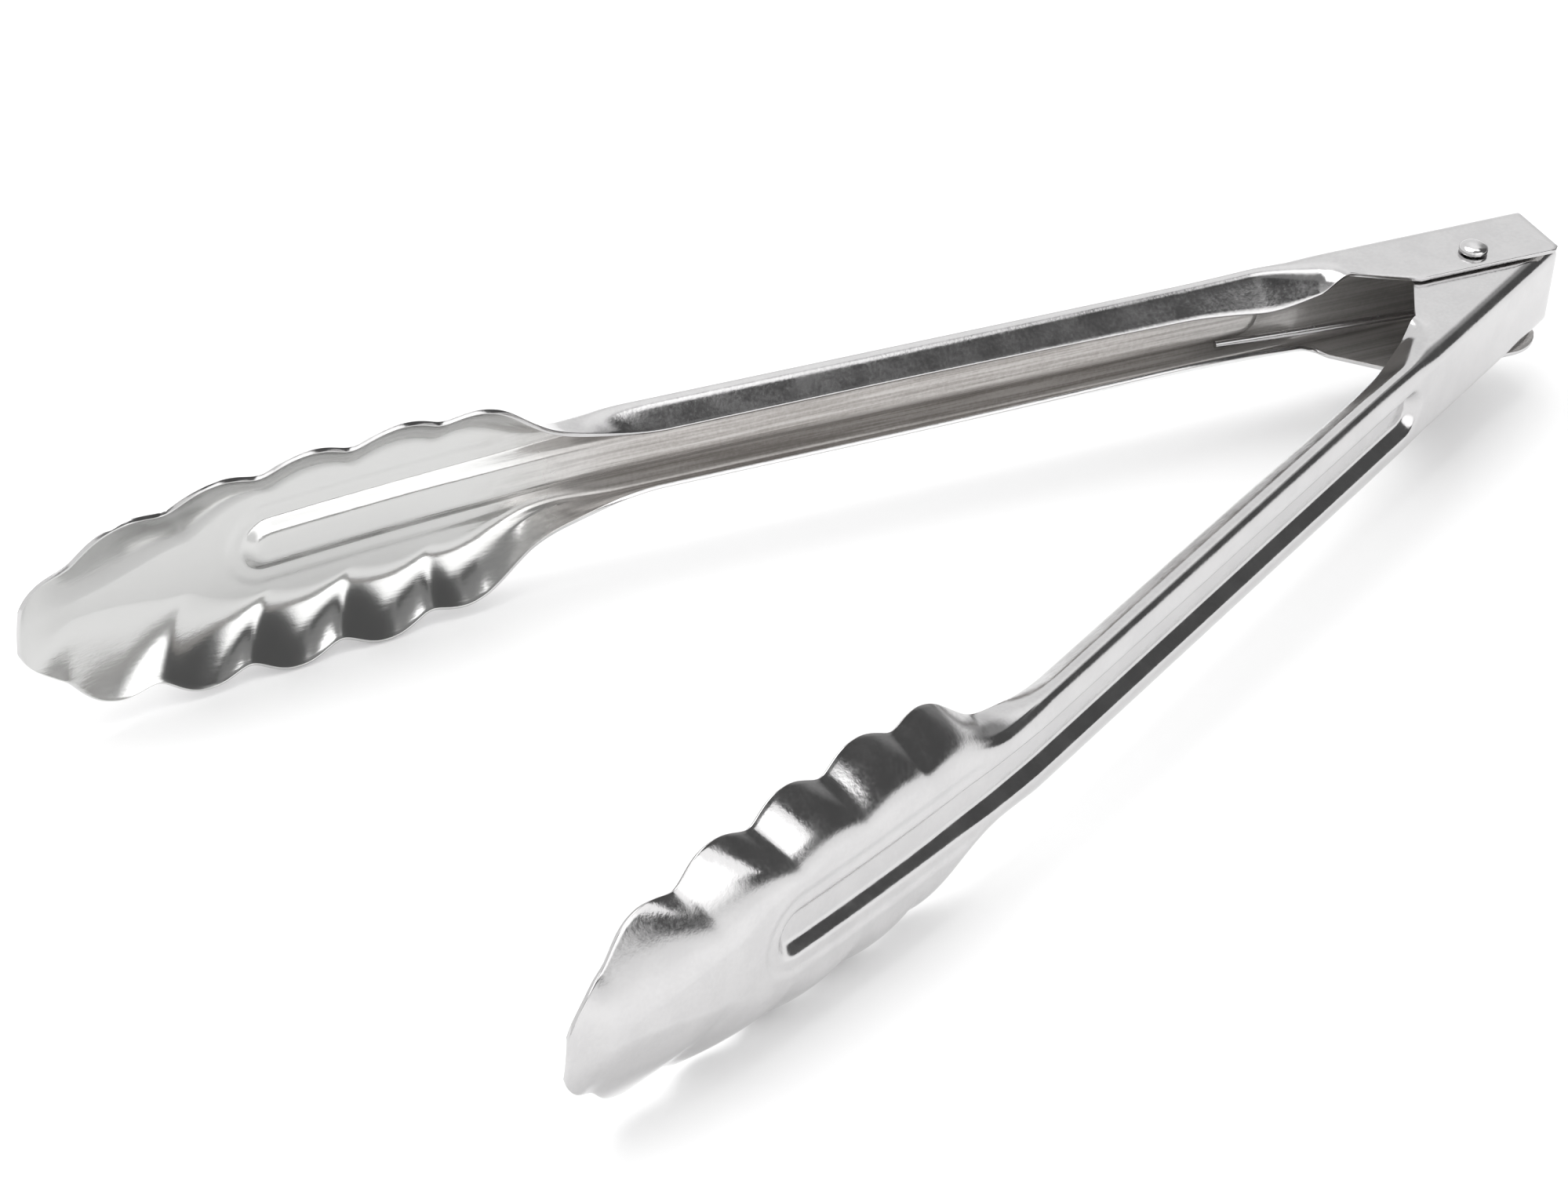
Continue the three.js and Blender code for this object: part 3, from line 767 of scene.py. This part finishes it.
def spring():
    """Round wire drawn along its path, wound round the rivet and bent out to both backs."""
    path = spring_path()
    data = bpy.data.curves.new("wire", "CURVE")
    data.dimensions = "3D"
    data.bevel_depth = WIRE_RADIUS * MM
    data.bevel_resolution = 5
    data.use_fill_caps = True
    line = data.splines.new("POLY")
    line.points.add(len(path) - 1)
    for point, place in zip(line.points, path):
        point.co = (*(PIVOT + Vector(place) * MM), 1)
    wire = bpy.data.objects.new("torsion_spring_looks", data)
    bpy.context.scene.collection.objects.link(wire)
    deselect()
    wire.select_set(True)
    bpy.context.view_layer.objects.active = wire
    bpy.ops.object.convert(target="MESH")
    piece = active("torsion_spring_looks")
    shade_smooth(piece, 50)
    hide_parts("torsion_spring")
    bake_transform(piece)
    return piece


# Polished steel outside; inside, streaked steel with painted shade in the handle's channel
sheet_finishes = (
    steel("polished_sheet", tone=0.6, roughness=0.1, swing=0.1, wave=0.03),
    streaked_steel_painted_shade("streaked_sheet_painted_shade"),
)
outer = arm("outer_arm_looks", "outer", OUTER_SHAPE, sheet_finishes)
inner = arm("inner_arm_looks", "inner", INNER_SHAPE, sheet_finishes)
pin = rivet()
wire = spring()

pin_steel = steel("rivet_steel", tone=0.64, roughness=0.12, swing=0.05, wave=0.01)
wire_steel = steel("spring_wire", tone=0.55, roughness=0.18, swing=0.1, wave=0.01)
dress(pin, pin_steel)
dress(wire, wire_steel)

# ------------------------------------------------------------------ studio
CAMERA_PLACE = PIVOT + Vector((717.769, 525.819, 517.047)) * MM
CAMERA_FORWARD = Vector((-0.5950211, -0.57383969, -0.56272365))
CAMERA_UP = Vector((-0.3327724, -0.46142049, 0.82240723))
CAMERA_LENS = 126.37
SENSOR_WIDTH = 36.0

# Studio cards that polished steel mirrors: middle bearing, half width, low and high edge,
# softness (degrees) and brightness.
STUDIO_CARDS = [
    (155, 45, 1, 64, 4, 0.1),
    (90, 29, 3, 43, 5, 1.8),
    (58, 66, 51, 84, 5, 0.28),
    (165, 22, 61, 78, 3, 1.8),
    (210, 22, 32, 66, 12, 1.25),
    (193, 12, 6, 43, 10, 0.35),
    (92, 17, 48, 58, 2.5, 0.08),
]
AMBIENT = 1.0  # brightness of the room between the cards

# Soft boxes: place, aim and size in metres, and power in watts.
SOFT_BOXES = {
    "soft_box_above": ((0.1, -0.25, 1.1), (0, 0, 0), 0.9, 6.0),
    "soft_box_tip": ((0.067, 0.157, 0.1), (0.114, 0.0645, 0.04), 0.073, 0.024),
}

FLOOR_SIZE = 6
FLOOR_DROP = 0.0002  # keeps the floor just clear of the part
PAPER = (0.93, 0.93, 0.93, 1)


def add_camera():
    data = bpy.data.cameras.new("camera")
    data.lens = CAMERA_LENS
    data.sensor_width = SENSOR_WIDTH
    camera = bpy.data.objects.new("camera", data)
    bpy.context.scene.collection.objects.link(camera)
    right = CAMERA_FORWARD.cross(CAMERA_UP).normalized()
    up = right.cross(CAMERA_FORWARD).normalized()
    back = -CAMERA_FORWARD.normalized()
    turn = camera.matrix_world.to_3x3()
    turn.col[0], turn.col[1], turn.col[2] = right, up, back
    camera.matrix_world = turn.to_4x4()
    camera.location = CAMERA_PLACE
    bpy.context.scene.camera = camera


def add_world():
    """A white studio, in which polished steel also mirrors the bright and dark cards."""
    world = bpy.data.worlds.new("studio")
    bpy.context.scene.world = world
    tree = Tree(world, "ShaderNodeOutputWorld")
    x, y, z = tree.split(tree.source("ShaderNodeTexCoord", "Generated"))
    turn = y.math("ARCTAN2", x)
    rise = z.math("ARCSINE")
    glow = AMBIENT
    for centre, half_turn, low, high, soft, level in STUDIO_CARDS:
        off = (turn - math.radians(centre)).math("COSINE").math("ARCCOSINE")
        half, edge = math.radians(half_turn), math.radians(soft)
        card = 1 - tree.smooth(off, half - edge, half + edge)
        foot, top = math.radians(low), math.radians(high)
        card = card * tree.smooth(rise, foot - edge, foot + edge)
        card = card * (1 - tree.smooth(rise, top - edge, top + edge))
        glow = card * (level - glow) + glow
    glossy = tree.source("ShaderNodeLightPath", "Is Glossy Ray")
    strength = glossy * glow + (1 - glossy) * AMBIENT
    tree.finish(tree.node("ShaderNodeBackground", {}, Color=(1, 1, 1, 1), Strength=strength))


def add_floor():
    """White paper under the part."""
    deselect()
    bpy.ops.mesh.primitive_plane_add(size=FLOOR_SIZE, location=(0, 0, -FLOOR_DROP))
    floor = active("floor")
    material = bpy.data.materials.new("floor_paper")
    tree = Tree(material, "ShaderNodeOutputMaterial")
    paper = tree.node("ShaderNodeBsdfDiffuse", {}, Color=PAPER)
    tree.finish(paper)
    floor.data.materials.append(material)


def add_lamp(name, place, aim, size, power):
    """A square soft box that faces a point, and that the camera doesn't see."""
    data = bpy.data.lights.new(name, "AREA")
    data.size = size
    data.energy = power
    lamp = bpy.data.objects.new(name, data)
    bpy.context.scene.collection.objects.link(lamp)
    lamp.location = place
    lamp.rotation_euler = (Vector(aim) - Vector(place)).to_track_quat("-Z", "Y").to_euler()
    lamp.visible_camera = False


bpy.context.scene.view_settings.view_transform = "Standard"
add_world()
add_floor()
for lamp_name, settings in SOFT_BOXES.items():
    add_lamp(lamp_name, *settings)
add_camera()
